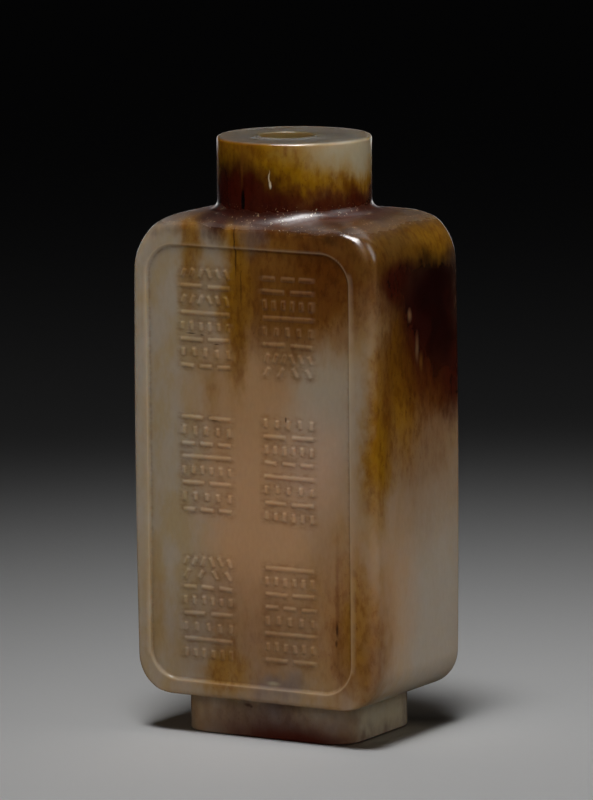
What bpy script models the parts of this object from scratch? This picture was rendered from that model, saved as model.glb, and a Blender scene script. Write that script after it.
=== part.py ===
"""A carved stone snuff bottle: flat oblong body, round neck, low oblong foot, sunk panels front and back.

The bottle is one stone, so it is one solid. Horizontal outlines run from the hollow under the foot,
up the outside, over the lip, down the bore and round the inside, and a skin joins each to the next.
The sunk panels are then cut from the two broad faces, and rows of low strokes stand in the front one.
X runs across the front, Y from front to back, Z up. The front faces -Y and the bottle rests at Z = 0.
"""

import math

import bmesh
import bpy
from mathutils import Vector

# Overall sizes, in metres
BODY_WIDTH = 0.0298
BODY_DEPTH = 0.0188
BODY_HEIGHT = 0.0511
FOOT_HEIGHT = 0.0042
NECK_HEIGHT = 0.0087

# The body's front profile and its edges
BASE_CORNER_RADIUS = 0.0040
LEFT_SHOULDER_RADIUS = 0.0058
RIGHT_SHOULDER_RADIUS = 0.0046
SHOULDER_SWEEP = math.radians(60.0)
SIDE_BULGE = 0.00025
VERTICAL_EDGE_RADIUS = 0.0009
BASE_EDGE_RADIUS = 0.0005
TOP_EDGE_RADIUS = 0.00035
SHOULDER_RISE = 0.0007
SHOULDER_RISE_RUN = 0.0028

# The neck and its mouth, which was drilled a little off centre
NECK_DIAMETER = 0.0165
NECK_FILLET = 0.00115
RIM_RADIUS = 0.00035
MOUTH_DIAMETER = 0.0059
MOUTH_OFFSET = Vector((-0.0007, -0.0004))
LIP_RADIUS = 0.00012

# The foot and the shallow hollow under it
FOOT_WIDTH = 0.0207
FOOT_DEPTH = 0.0155
FOOT_CORNER_RADIUS = 0.0033
FOOT_EDGE_RADIUS = 0.0003
FOOT_RIM_WIDTH = 0.0022
FOOT_RECESS = 0.0010

# The hollow inside
SIDE_WALL = 0.0034
FACE_WALL = 0.0032
FLOOR_THICKNESS = 0.0034
SHOULDER_THICKNESS = 0.0038
CAVITY_CORNER_RADIUS = 0.0022
CAVITY_SHOULDER_DROP = 0.0050
CAVITY_FLOOR_RADIUS = 0.0024

# The sunk panels: margins of the raised frame round them, and their sloped step
FRAME_LEFT = 0.0019
FRAME_RIGHT = 0.0030
FRAME_BOTTOM = 0.0016
FRAME_TOP = 0.0024
PANEL_DEPTH = 0.00035
PANEL_STEP = 0.00045
PANEL_CORNER_RADIUS = 0.0035

# The rows of strokes: two columns of three blocks, which fill the panel inside these margins
STROKES_LEFT_MARGIN = 0.0042
STROKES_RIGHT_MARGIN = 0.0046
STROKES_TOP_MARGIN = 0.0023
STROKES_BOTTOM_MARGIN = 0.00244
COLUMN_GAP = 0.0041
BLOCK_GAP = 0.00414
STROKE_WIDTH = 0.00048
STROKE_HEIGHT = 0.00030
STROKE_DRAFT = 0.00008
STROKE_GAP = 0.00075

# How finely the round places are cut
CORNER_STEPS = 6
SIDE_STEPS = 6
ARC_STEPS = 5
PANEL_CORNER_STEPS = 8
CUTTER_REACH = 0.001
STROKE_ROOT = 0.0004

# Levels that follow from the sizes above
BODY_TOP = FOOT_HEIGHT + BODY_HEIGHT
TOTAL_HEIGHT = BODY_TOP + NECK_HEIGHT
NECK_RADIUS = NECK_DIAMETER / 2
MOUTH_RADIUS = MOUTH_DIAMETER / 2
ORIGIN = Vector((0.0, 0.0))

# The sunk panel's edges on a broad face, and the strokes' layout inside them
PANEL_LEFT = -BODY_WIDTH / 2 + FRAME_LEFT
PANEL_RIGHT = BODY_WIDTH / 2 - FRAME_RIGHT
PANEL_BOTTOM = FOOT_HEIGHT + FRAME_BOTTOM
PANEL_TOP = BODY_TOP - FRAME_TOP
ROWS_PER_BLOCK = 8
STROKES_WIDTH = PANEL_RIGHT - PANEL_LEFT - STROKES_LEFT_MARGIN - STROKES_RIGHT_MARGIN
STROKES_REACH = PANEL_TOP - PANEL_BOTTOM - STROKES_TOP_MARGIN - STROKES_BOTTOM_MARGIN
BLOCK_WIDTH = (STROKES_WIDTH - COLUMN_GAP) / 2
BLOCK_HEIGHT = (STROKES_REACH - 2 * BLOCK_GAP) / 3
ROW_PITCH = BLOCK_HEIGHT / ROWS_PER_BLOCK
POST_LENGTH = 0.64 * ROW_PITCH
SLANT_RISE = 0.67 * ROW_PITCH
SLANT_LEAN = 0.17


def spread(start, end, steps):
    """Evenly spaced values from start to end, both included."""
    return [start + (end - start) * step / steps for step in range(steps + 1)]


def corner_outline(left, right, half_depth, radius):
    """An oblong outline with rounded corners, counter-clockwise from the right side's back end.

    Each corner has CORNER_STEPS pieces and each side between two corners has SIDE_STEPS.
    """
    corners = [
        Vector((right - radius, half_depth - radius)),
        Vector((-left + radius, half_depth - radius)),
        Vector((-left + radius, -half_depth + radius)),
        Vector((right - radius, -half_depth + radius)),
    ]
    arcs = []
    for quarter, centre in enumerate(corners):
        angles = spread(quarter * math.pi / 2, (quarter + 1) * math.pi / 2, CORNER_STEPS)
        arcs.append([centre + radius * Vector((math.cos(a), math.sin(a))) for a in angles])
    points = []
    for quarter, arc in enumerate(arcs):
        following = arcs[(quarter + 1) % 4][0]
        points += arc
        points += [arc[-1].lerp(following, share) for share in spread(0, 1, SIDE_STEPS)[1:-1]]
    return points


def round_outline(radius, centre=ORIGIN):
    """A circle with as many points as corner_outline, each beside the matching point there."""
    count = 4 * (CORNER_STEPS + SIDE_STEPS)
    first = math.pi / 4 - CORNER_STEPS * math.pi / count
    angles = [first + 2 * math.pi * index / count for index in range(count)]
    return [centre + radius * Vector((math.cos(a), math.sin(a))) for a in angles]


def level(outline, height):
    return [Vector((point.x, point.y, height)) for point in outline]


def blend(first, second, share):
    return [a.lerp(b, share) for a, b in zip(first, second)]


def shoulder_arc_base(radius):
    """Height at which a shoulder arc of this radius starts, so that it ends at the top of the body."""
    return BODY_TOP - radius * math.sin(SHOULDER_SWEEP)


def half_width(height, shoulder_radius):
    """Distance from the middle of the body to its side, on the front profile, at this height."""
    along = (height - FOOT_HEIGHT) / BODY_HEIGHT
    width = BODY_WIDTH / 2 - SIDE_BULGE * (2 * along - 1) ** 2
    above_base = height - FOOT_HEIGHT
    if above_base < BASE_CORNER_RADIUS:
        drop = BASE_CORNER_RADIUS - above_base
        width -= BASE_CORNER_RADIUS - math.sqrt(BASE_CORNER_RADIUS**2 - drop**2)
    above_arc = height - shoulder_arc_base(shoulder_radius)
    if above_arc > 0:
        width -= shoulder_radius - math.sqrt(shoulder_radius**2 - above_arc**2)
    return width


def half_depth(height):
    """Distance from the middle of the body to its broad faces, with their top and bottom edges eased."""
    depth = BODY_DEPTH / 2
    above_base = height - FOOT_HEIGHT
    if above_base < BASE_EDGE_RADIUS:
        drop = BASE_EDGE_RADIUS - above_base
        depth -= BASE_EDGE_RADIUS - math.sqrt(BASE_EDGE_RADIUS**2 - drop**2)
    below_top = BODY_TOP - height
    if below_top < TOP_EDGE_RADIUS:
        rise = TOP_EDGE_RADIUS - below_top
        depth -= TOP_EDGE_RADIUS - math.sqrt(TOP_EDGE_RADIUS**2 - rise**2)
    return depth


def body_outline(height):
    left = half_width(height, LEFT_SHOULDER_RADIUS)
    right = half_width(height, RIGHT_SHOULDER_RADIUS)
    return corner_outline(left, right, half_depth(height), VERTICAL_EDGE_RADIUS)


def body_heights():
    """Heights of the body's outlines: close together round its corners, far apart along its sides."""
    base_turn = math.acos(1 - BASE_EDGE_RADIUS / BASE_CORNER_RADIUS)
    heights = [
        FOOT_HEIGHT + BASE_EDGE_RADIUS * (1 - math.cos(angle))
        for angle in spread(0, math.pi / 2, 3)
    ]
    heights += [
        FOOT_HEIGHT + BASE_CORNER_RADIUS * (1 - math.cos(angle))
        for angle in spread(base_turn, math.pi / 2, ARC_STEPS)[1:]
    ]
    arc_base = shoulder_arc_base(LEFT_SHOULDER_RADIUS)
    heights += spread(heights[-1], arc_base, 5)[1:]
    edge_base = BODY_TOP - TOP_EDGE_RADIUS
    edge_turn = math.asin((edge_base - arc_base) / LEFT_SHOULDER_RADIUS)
    heights += [
        arc_base + LEFT_SHOULDER_RADIUS * math.sin(angle)
        for angle in spread(0, edge_turn, ARC_STEPS + 1)[1:]
    ]
    heights += [
        edge_base + TOP_EDGE_RADIUS * math.sin(angle)
        for angle in spread(0, math.pi / 2, 3)[1:]
    ]
    return heights


def foot_rings():
    """From the hollow under the foot, over the rim that it stands on, up to the body's underside."""

    def inset(distance):
        across = FOOT_WIDTH / 2 - distance
        deep = FOOT_DEPTH / 2 - distance
        return corner_outline(across, across, deep, FOOT_CORNER_RADIUS - distance)

    return [
        level(inset(FOOT_RIM_WIDTH), FOOT_RECESS),
        level(inset(FOOT_RIM_WIDTH), 0),
        level(inset(FOOT_EDGE_RADIUS), 0),
        level(inset(0), FOOT_EDGE_RADIUS),
        level(inset(0), FOOT_HEIGHT),
    ]


def body_rings():
    return [level(body_outline(height), height) for height in body_heights()]


def eased(value):
    """0 at 0, rising quickly at first and level from 1 on."""
    return 1 - (1 - min(max(value, 0), 1)) ** 2


def shoulder_height(point, left, right, depth):
    """Height of the shoulder: it rises from its outline towards the neck and sweeps up into it."""
    side = right - point.x if point.x > 0 else left + point.x
    front = depth - abs(point.y)
    rise = SHOULDER_RISE * eased(side / SHOULDER_RISE_RUN) * eased(front / SHOULDER_RISE_RUN)
    into_fillet = min(max(NECK_FILLET - (point.length - NECK_RADIUS), 0), NECK_FILLET)
    sweep = NECK_FILLET - math.sqrt(NECK_FILLET**2 - into_fillet**2)
    return BODY_TOP + rise + sweep


def shoulder_rings():
    """From the crease round the top of the body in to the neck."""
    edge = body_outline(BODY_TOP)
    neck = round_outline(NECK_RADIUS)
    left = half_width(BODY_TOP, LEFT_SHOULDER_RADIUS)
    right = half_width(BODY_TOP, RIGHT_SHOULDER_RADIUS)
    depth = half_depth(BODY_TOP)
    fillet_share = NECK_FILLET / (right - NECK_RADIUS)
    shares = spread(0, 1 - fillet_share, 2)[1:]
    shares += [
        1 - fillet_share * (1 - math.sin(angle))
        for angle in spread(0, math.pi / 2, ARC_STEPS)[1:]
    ]
    rings = []
    for share in shares:
        outline = blend(edge, neck, share)
        heights = [shoulder_height(point, left, right, depth) for point in outline]
        rings.append([Vector((p.x, p.y, height)) for p, height in zip(outline, heights)])
    return rings


def neck_rings():
    """The top of the neck: its rounded rim, the flat lip round the mouth and the turn into the bore."""
    rings = [
        level(
            round_outline(NECK_RADIUS - RIM_RADIUS * (1 - math.cos(angle))),
            TOTAL_HEIGHT - RIM_RADIUS * (1 - math.sin(angle)),
        )
        for angle in spread(0, math.pi / 2, 3)
    ]
    rings += [
        level(
            round_outline(MOUTH_RADIUS + LIP_RADIUS * (1 - math.sin(angle)), MOUTH_OFFSET),
            TOTAL_HEIGHT - LIP_RADIUS * (1 - math.cos(angle)),
        )
        for angle in spread(0, math.pi / 2, 2)
    ]
    return rings


def cavity_rings():
    """The hollow: from the foot of the bore out under the shoulders, down the walls and in to the floor."""
    across = BODY_WIDTH / 2 - SIDE_WALL
    deep = BODY_DEPTH / 2 - FACE_WALL
    ceiling = BODY_TOP - SHOULDER_THICKNESS
    floor = FOOT_HEIGHT + FLOOR_THICKNESS
    bore = round_outline(MOUTH_RADIUS, MOUTH_OFFSET)
    full = corner_outline(across, across, deep, CAVITY_CORNER_RADIUS)
    rings = [
        level(
            blend(bore, full, math.sin(angle)),
            ceiling - CAVITY_SHOULDER_DROP * (1 - math.cos(angle)),
        )
        for angle in spread(0, math.pi / 2, ARC_STEPS)
    ]
    for angle in spread(0, math.pi / 2, ARC_STEPS - 1):
        inset = CAVITY_FLOOR_RADIUS * (1 - math.cos(angle))
        outline = corner_outline(
            across - inset,
            across - inset,
            deep - inset,
            max(CAVITY_CORNER_RADIUS - inset, LIP_RADIUS),
        )
        rings.append(level(outline, floor + CAVITY_FLOOR_RADIUS * (1 - math.sin(angle))))
    return rings


def skin(mesh, rings, closed_start, closed_end):
    """Joins each ring of points to the next, and fills the first and the last where asked."""
    loops = [[mesh.verts.new(point) for point in ring] for ring in rings]
    count = len(loops[0])
    for lower, upper in zip(loops, loops[1:]):
        for index in range(count):
            after = (index + 1) % count
            mesh.faces.new((lower[index], lower[after], upper[after], upper[index]))
    if closed_start:
        mesh.faces.new(list(reversed(loops[0])))
    if closed_end:
        mesh.faces.new(loops[-1])


def panel_outline(inset):
    """The sunk panel's outline on a broad face, as (across, up) points, drawn in by inset."""
    left, right = PANEL_LEFT + inset, PANEL_RIGHT - inset
    bottom, top = PANEL_BOTTOM + inset, PANEL_TOP - inset
    radius = PANEL_CORNER_RADIUS - inset
    corners = [
        (right - radius, top - radius),
        (left + radius, top - radius),
        (left + radius, bottom + radius),
        (right - radius, bottom + radius),
    ]
    points = []
    for quarter, (across, up) in enumerate(corners):
        angles = spread(quarter * math.pi / 2, (quarter + 1) * math.pi / 2, PANEL_CORNER_STEPS)
        points += [(across + radius * math.cos(a), up + radius * math.sin(a)) for a in angles]
    return points


def panel_cutter():
    """The block cut out of the front face, with the sloped step round it."""
    face = -BODY_DEPTH / 2
    mesh = bmesh.new()
    layers = [(0, face - CUTTER_REACH), (0, face), (PANEL_STEP, face + PANEL_DEPTH)]
    rings = [[Vector((x, y, z)) for x, z in panel_outline(inset)] for inset, y in layers]
    skin(mesh, rings, True, True)
    return mesh


def bar(start, end, width=STROKE_WIDTH):
    """A stroke from start to end, as the four corners of its foot, in (across, up) points."""
    along = (end - start).normalized()
    side = Vector((-along.y, along.x)) * width / 2
    return [start - side, end - side, end + side, start + side]


def bar_row(left, right, middle, pieces):
    """A row of equal bars, end to end with gaps between."""
    length = (right - left - STROKE_GAP * (pieces - 1)) / pieces
    starts = [left + index * (length + STROKE_GAP) for index in range(pieces)]
    return [bar(Vector((start, middle)), Vector((start + length, middle))) for start in starts]


def post_row(left, right, middle, pieces):
    """A row of short upright strokes."""
    up = Vector((0, POST_LENGTH / 2))
    inset = STROKE_WIDTH / 2
    centres = [Vector((x, middle)) for x in spread(left + inset, right - inset, pieces - 1)]
    return [bar(centre - up, centre + up) for centre in centres]


def slant_row(left, right, middle, pieces):
    """A row of leaning strokes, mirrored about the middle of the block."""
    lean = (right - left) / pieces * SLANT_LEAN
    inset = lean + STROKE_WIDTH / 2
    strokes = []
    for x in spread(left + inset, right - inset, pieces - 1):
        centre = Vector((x, middle))
        turn = Vector((lean if x < (left + right) / 2 else -lean, SLANT_RISE / 2))
        strokes.append(bar(centre - turn, centre + turn))
    return strokes


# The rows of each block from its top. A row is a kind, bars (b), posts (p) or slants (s), and a count
BLOCKS = {
    "top left": "s6 b2 s6 b1 p6 b2 p5 b3",
    "middle left": "b2 p5 b3 b1 p6 b2 p5 b3",
    "bottom left": "s6 s4 b3 p6 b2 p5 b1 p6",
    "top right": "b3 b2 p6 b1 p5 b2 s6 s4",
    "middle right": "p5 b2 p6 b3 b1 p5 b2 p6",
    "bottom right": "b1 p6 b2 b3 p5 b1 p6 b2",
}


def block_strokes(codes, left, top):
    """Strokes of one block, whose rows are given by codes such as "b2": two bars."""
    right = left + BLOCK_WIDTH
    strokes = []
    for row, code in enumerate(codes.split()):
        kind, pieces = code[0], int(code[1])
        middle = top - ROW_PITCH * (row + 0.5)
        make_row = {"b": bar_row, "p": post_row, "s": slant_row}[kind]
        strokes += make_row(left, right, middle, pieces)
    return strokes


def all_strokes():
    strokes = []
    for name, codes in BLOCKS.items():
        vertical, side = name.split()
        column = ("left", "right").index(side)
        tier = ("top", "middle", "bottom").index(vertical)
        left = PANEL_LEFT + STROKES_LEFT_MARGIN + column * (BLOCK_WIDTH + COLUMN_GAP)
        top = PANEL_TOP - STROKES_TOP_MARGIN - tier * (BLOCK_HEIGHT + BLOCK_GAP)
        strokes += block_strokes(codes, left, top)
    return strokes


def stroke_mesh():
    """All the strokes as low blocks with sloped sides, rooted a little way into the panel's floor."""
    floor = -BODY_DEPTH / 2 + PANEL_DEPTH
    mesh = bmesh.new()
    for foot in all_strokes():
        centre = sum(foot, Vector((0, 0))) / 4
        tip = []
        for corner in foot:
            inward = (centre - corner).normalized() * STROKE_DRAFT * math.sqrt(2)
            tip.append(corner + inward)
        rings = [
            [Vector((p.x, floor - STROKE_HEIGHT, p.y)) for p in tip],
            [Vector((p.x, floor, p.y)) for p in foot],
            [Vector((p.x, floor + STROKE_ROOT, p.y)) for p in foot],
        ]
        skin(mesh, rings, True, True)
    return mesh


def add_object(name, mesh, smooth_below=None):
    """Puts a bmesh in the scene as a named object, faces pointing out."""
    bmesh.ops.recalc_face_normals(mesh, faces=mesh.faces[:])
    data = bpy.data.meshes.new(name)
    mesh.to_mesh(data)
    mesh.free()
    if smooth_below is not None:
        data.shade_smooth()
        data.set_sharp_from_angle(angle=smooth_below)
    added = bpy.data.objects.new(name, data)
    bpy.context.scene.collection.objects.link(added)
    return added


def add_cutter(name, mesh):
    cutter = add_object(name, mesh)
    cutter.hide_render = True
    cutter.display_type = "WIRE"
    return cutter


def jade_material():
    material = bpy.data.materials.new("mottled jade")
    material.use_nodes = True
    shader = material.node_tree.nodes["Principled BSDF"]
    shader.inputs["Base Color"].default_value = (0.42, 0.36, 0.27, 1.0)
    shader.inputs["Roughness"].default_value = 0.22
    shader.inputs["Metallic"].default_value = 0.0
    return material


def build_bottle():
    mesh = bmesh.new()
    rings = foot_rings() + body_rings() + shoulder_rings() + neck_rings() + cavity_rings()
    skin(mesh, rings, True, True)
    bottle = add_object("bottle", mesh, math.radians(35.0))
    bottle.data.materials.append(jade_material())

    front_cutter = add_cutter("front_panel_cutter", panel_cutter())
    back_cutter = add_cutter("back_panel_cutter", panel_cutter())
    back_cutter.rotation_euler = (0.0, 0.0, math.pi)
    strokes = add_cutter("front_strokes", stroke_mesh())
    for tool, operation in (
        (front_cutter, "DIFFERENCE"),
        (back_cutter, "DIFFERENCE"),
        (strokes, "UNION"),
    ):
        modifier = bottle.modifiers.new(tool.name, "BOOLEAN")
        modifier.object = tool
        modifier.operation = operation
        modifier.solver = "EXACT"
        modifier.use_self = tool is strokes
    return bottle


def main():
    for existing in list(bpy.data.objects):
        bpy.data.objects.remove(existing, do_unlink=True)
    build_bottle()


main()
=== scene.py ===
"""The looks of the snuff bottle: its softly worn carved stone, in a dim studio.

The stone is one piece that stands for the CAD solid and keeps its form, skinned in far finer steps, so
that edges, panel and strokes get the rounding of a stone that was ground and polished by hand.
Lengths are in metres, except in the stone's colouring, where places are in millimetres.
"""

import math

import bpy
import numpy as np
from mathutils import Matrix, Vector


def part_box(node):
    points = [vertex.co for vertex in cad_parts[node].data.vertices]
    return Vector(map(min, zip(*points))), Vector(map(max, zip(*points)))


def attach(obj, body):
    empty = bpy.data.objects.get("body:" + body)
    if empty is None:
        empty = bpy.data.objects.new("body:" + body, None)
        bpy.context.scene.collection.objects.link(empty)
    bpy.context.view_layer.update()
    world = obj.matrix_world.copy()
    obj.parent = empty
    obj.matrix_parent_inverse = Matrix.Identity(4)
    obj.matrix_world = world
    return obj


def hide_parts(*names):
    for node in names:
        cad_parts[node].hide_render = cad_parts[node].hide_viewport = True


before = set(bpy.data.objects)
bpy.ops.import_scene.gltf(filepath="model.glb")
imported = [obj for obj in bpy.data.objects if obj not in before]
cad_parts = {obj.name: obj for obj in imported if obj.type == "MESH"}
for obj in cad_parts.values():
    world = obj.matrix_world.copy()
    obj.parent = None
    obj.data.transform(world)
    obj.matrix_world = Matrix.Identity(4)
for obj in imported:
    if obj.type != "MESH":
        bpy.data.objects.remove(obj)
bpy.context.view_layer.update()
LOW, HIGH = (Vector(corner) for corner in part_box("bottle"))

# Overall sizes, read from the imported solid
BODY_WIDTH = HIGH.x - LOW.x
BODY_DEPTH = HIGH.y - LOW.y
TOTAL_HEIGHT = HIGH.z

# The body, as in the part's source but with its top edge worn rounder
FOOT_HEIGHT = 0.0042
NECK_HEIGHT = 0.0087
BODY_TOP = TOTAL_HEIGHT - NECK_HEIGHT
BODY_HEIGHT = BODY_TOP - FOOT_HEIGHT
BASE_CORNER_RADIUS = 0.0040
LEFT_SHOULDER_RADIUS = 0.0058
RIGHT_SHOULDER_RADIUS = 0.0046
SHOULDER_SWEEP = math.radians(60.0)
SIDE_BULGE = 0.00025
VERTICAL_EDGE_RADIUS = 0.0009
BASE_EDGE_RADIUS = 0.0005
TOP_EDGE_RADIUS = 0.0010
TOP_EDGE_SWEEP = math.radians(63.0)
TOP_EDGE_BASE = BODY_TOP - TOP_EDGE_RADIUS * math.sin(TOP_EDGE_SWEEP)
SHOULDER_RISE = 0.0007
SHOULDER_RISE_RUN = 0.0028

# The neck and its mouth
NECK_RADIUS = 0.0165 / 2
NECK_FILLET = 0.00115
RIM_RADIUS = 0.00035
MOUTH_RADIUS = 0.0059 / 2
MOUTH_OFFSET = np.array((-0.0007, -0.0004))
LIP_RADIUS = 0.00012

# The foot and the shallow hollow under it
FOOT_WIDTH = 0.0207
FOOT_DEPTH = 0.0155
FOOT_CORNER_RADIUS = 0.0033
FOOT_EDGE_RADIUS = 0.0003
FOOT_RIM_WIDTH = 0.0022
FOOT_RECESS = 0.0010
FOOT_FILLET = 0.00018

# The hollow inside
SIDE_WALL = 0.0034
FACE_WALL = 0.0032
FLOOR_THICKNESS = 0.0034
SHOULDER_THICKNESS = 0.0038
CAVITY_CORNER_RADIUS = 0.0022
CAVITY_SHOULDER_DROP = 0.0050
CAVITY_FLOOR_RADIUS = 0.0024

# The sunk panels, and the rows of strokes in the front one, both worn shallower than they were cut
PANEL_LEFT = -BODY_WIDTH / 2 + 0.0019
PANEL_RIGHT = BODY_WIDTH / 2 - 0.0030
PANEL_BOTTOM = FOOT_HEIGHT + 0.0016
PANEL_TOP = BODY_TOP - 0.0024
PANEL_DEPTH = 0.00027
PANEL_STEP = 0.00034
PANEL_CORNER_RADIUS = 0.0035
STROKES_LEFT = PANEL_LEFT + 0.0042
STROKES_RIGHT = PANEL_RIGHT - 0.0046
STROKES_TOP = PANEL_TOP - 0.0023
STROKES_BOTTOM = PANEL_BOTTOM + 0.00244
COLUMN_GAP = 0.0041
BLOCK_GAP = 0.00414
STROKE_WIDTH = 0.00042
STROKE_HEIGHT = 0.00014
STROKE_GAP = 0.00075
ROWS_PER_BLOCK = 8
BLOCK_WIDTH = (STROKES_RIGHT - STROKES_LEFT - COLUMN_GAP) / 2
BLOCK_HEIGHT = (STROKES_TOP - STROKES_BOTTOM - 2 * BLOCK_GAP) / 3
ROW_PITCH = BLOCK_HEIGHT / ROWS_PER_BLOCK
POST_LENGTH = 0.64 * ROW_PITCH
SLANT_RISE = 0.67 * ROW_PITCH
SLANT_LEAN = 0.17

# The upright edges are worn rounder towards the shoulders
EDGE_WEAR = 0.0012
EDGE_WEAR_FROM = BODY_TOP - 0.0060

# How the strokes' edges are rounded over: a stroke rises this far inside and outside its outline
STROKE_SHOULDER = 0.00012
STROKE_TOE = 0.00005
# How far the ends of the strokes stray from their rows
HAND_ERROR = 0.00006
# How far from a stroke the panel's floor counts as a hollow between strokes, for the painted shade and dirt
# in it
HOLLOW_REACH = 0.0008
# How near the foot of the panel's step the same painted shade and dirt lie, and how much less of it
STEP_FOOT_REACH = 0.00025
STEP_FOOT_SHARE = 0.6
HOLLOWS = "hollows"
# How near its outline a stroke, or the panel's border, gets a paler line, painted as a highlight
EDGE_LINE_REACH = 0.00016
EDGE_HIGHLIGHTS = "edge_highlights"
# How much fainter the painted highlight line is on a stroke's edge than on the panel's border
STROKE_LINE_SHARE = 0.3

# The stone's columns and rows of points: how far apart they stand
FINE_COLUMN = 0.000135
PANEL_EDGE_COLUMN = 0.00010
CORNER_COLUMN = 0.00019
PLAIN_COLUMN = 0.0007
BACK_COLUMN = 0.0008
PLAIN_ROW = 0.00045
NARROW_STEPS = 9
CORNER_STEPS = 7
ARC_STEPS = 7
TOP_EDGE_STEPS = 6
# Where a row of strokes has its rows of points, up from its middle in shares of the row pitch
ROW_LEVELS = (-0.5, -0.36, -0.30, -0.23, -0.16, -0.09, 0.09, 0.16, 0.23, 0.30, 0.36)


def spread(start, end, steps):
    return [start + (end - start) * step / steps for step in range(steps + 1)]


def zoned(start, zones):
    """Places from start on. A zone is (its end, the widest step in it)."""
    places = [start]
    for end, step in zones:
        count = math.ceil((end - places[-1]) / step - 1e-6)
        if count > 0:
            places += spread(places[-1], end, count)[1:]
    return places


def quarter_arc(steps=ARC_STEPS):
    """Shares (1 - cos, 1 - sin) of a radius round a quarter turn."""
    return [(1 - math.cos(a), 1 - math.sin(a)) for a in spread(0, math.pi / 2, steps)]


def side_shares():
    """How far along each side its columns stand, in the order back, left, front, right."""
    tangent = BODY_WIDTH / 2 - VERTICAL_EDGE_RADIUS
    margin = STROKE_TOE * 2
    second_column = STROKES_RIGHT - BLOCK_WIDTH
    front = zoned(
        -tangent,
        [
            (PANEL_LEFT - margin, PLAIN_COLUMN),
            (PANEL_LEFT + PANEL_STEP + margin, PANEL_EDGE_COLUMN),
            (PANEL_LEFT + PANEL_CORNER_RADIUS, CORNER_COLUMN),
            (STROKES_LEFT - margin, PLAIN_COLUMN),
            (STROKES_LEFT + BLOCK_WIDTH + margin, FINE_COLUMN),
            (second_column - margin, PLAIN_COLUMN),
            (STROKES_RIGHT + margin, FINE_COLUMN),
            (PANEL_RIGHT - PANEL_CORNER_RADIUS, PLAIN_COLUMN),
            (PANEL_RIGHT - PANEL_STEP - margin, CORNER_COLUMN),
            (PANEL_RIGHT + margin, PANEL_EDGE_COLUMN),
            (tangent, PLAIN_COLUMN),
        ],
    )
    back = zoned(
        -tangent,
        [
            (PANEL_LEFT - margin, PLAIN_COLUMN),
            (PANEL_LEFT + PANEL_STEP + margin, 2 * PANEL_EDGE_COLUMN),
            (PANEL_LEFT + PANEL_CORNER_RADIUS, 2 * CORNER_COLUMN),
            (PANEL_RIGHT - PANEL_CORNER_RADIUS, 3 * BACK_COLUMN),
            (PANEL_RIGHT - PANEL_STEP - margin, 2 * CORNER_COLUMN),
            (PANEL_RIGHT + margin, 2 * PANEL_EDGE_COLUMN),
            (tangent, PLAIN_COLUMN),
        ],
    )
    shares = [[(place + tangent) / (2 * tangent) for place in side] for side in (back, front)]
    narrow = spread(0, 1, NARROW_STEPS)
    return [shares[0], narrow, shares[1], narrow]


SIDE_SHARES = side_shares()

# How much of a circle the points of one of the body's corners take up on the neck
CORNER_TURN = math.radians(24.0)


def corner_outline(left, right, half_depth, radius):
    """An oblong outline with rounded corners, counter-clockwise from the right side's back end."""
    corners = [
        (right - radius, half_depth - radius),
        (-left + radius, half_depth - radius),
        (-left + radius, -half_depth + radius),
        (right - radius, -half_depth + radius),
    ]
    arcs = []
    for quarter, centre in enumerate(corners):
        angles = np.array(spread(quarter * math.pi / 2, (quarter + 1) * math.pi / 2, CORNER_STEPS))
        arcs.append(np.array(centre) + radius * np.stack([np.cos(angles), np.sin(angles)], axis=1))
    points = []
    for quarter, arc in enumerate(arcs):
        following = arcs[(quarter + 1) % 4][0]
        shares = np.array(SIDE_SHARES[quarter][1:-1])[:, None]
        points += [arc, arc[-1] + (following - arc[-1]) * shares]
    return np.concatenate(points)


def round_outline(radius, centre=(0.0, 0.0)):
    """A circle with as many points as corner_outline, each beside the matching point there."""
    side_turn = math.pi / 2 - CORNER_TURN
    angles = []
    for quarter in range(4):
        start = math.pi / 4 - CORNER_TURN / 2 + quarter * math.pi / 2
        angles += spread(start, start + CORNER_TURN, CORNER_STEPS)
        angles += [start + CORNER_TURN + side_turn * s for s in SIDE_SHARES[quarter][1:-1]]
    angles = np.array(angles)
    return np.array(centre) + radius * np.stack([np.cos(angles), np.sin(angles)], axis=1)


def level(outline, height):
    return np.column_stack([outline, np.full(len(outline), height)])


def shoulder_arc_base(radius):
    return BODY_TOP - radius * math.sin(SHOULDER_SWEEP)


def half_width(height, shoulder_radius):
    """Distance from the middle of the body to its side, on the front profile."""
    along = (height - FOOT_HEIGHT) / BODY_HEIGHT
    width = BODY_WIDTH / 2 - SIDE_BULGE * (2 * along - 1) ** 2
    above_base = height - FOOT_HEIGHT
    if above_base < BASE_CORNER_RADIUS:
        drop = BASE_CORNER_RADIUS - above_base
        width -= BASE_CORNER_RADIUS - math.sqrt(BASE_CORNER_RADIUS**2 - drop**2)
    above_arc = height - shoulder_arc_base(shoulder_radius)
    if above_arc > 0:
        width -= shoulder_radius - math.sqrt(shoulder_radius**2 - above_arc**2)
    return width


def half_depth(height):
    """Distance from the middle of the body to its broad faces."""
    depth = BODY_DEPTH / 2
    above_base = height - FOOT_HEIGHT
    if above_base < BASE_EDGE_RADIUS:
        drop = BASE_EDGE_RADIUS - above_base
        depth -= BASE_EDGE_RADIUS - math.sqrt(BASE_EDGE_RADIUS**2 - drop**2)
    above_edge = height - TOP_EDGE_BASE
    if above_edge > 0:
        depth -= TOP_EDGE_RADIUS - math.sqrt(TOP_EDGE_RADIUS**2 - above_edge**2)
    return depth


def body_outline(height):
    left = half_width(height, LEFT_SHOULDER_RADIUS)
    right = half_width(height, RIGHT_SHOULDER_RADIUS)
    edge_amount = EDGE_WEAR * float(smooth_step((height - EDGE_WEAR_FROM) / (BODY_TOP - EDGE_WEAR_FROM)))
    return corner_outline(left, right, half_depth(height), VERTICAL_EDGE_RADIUS + edge_amount)


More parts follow.
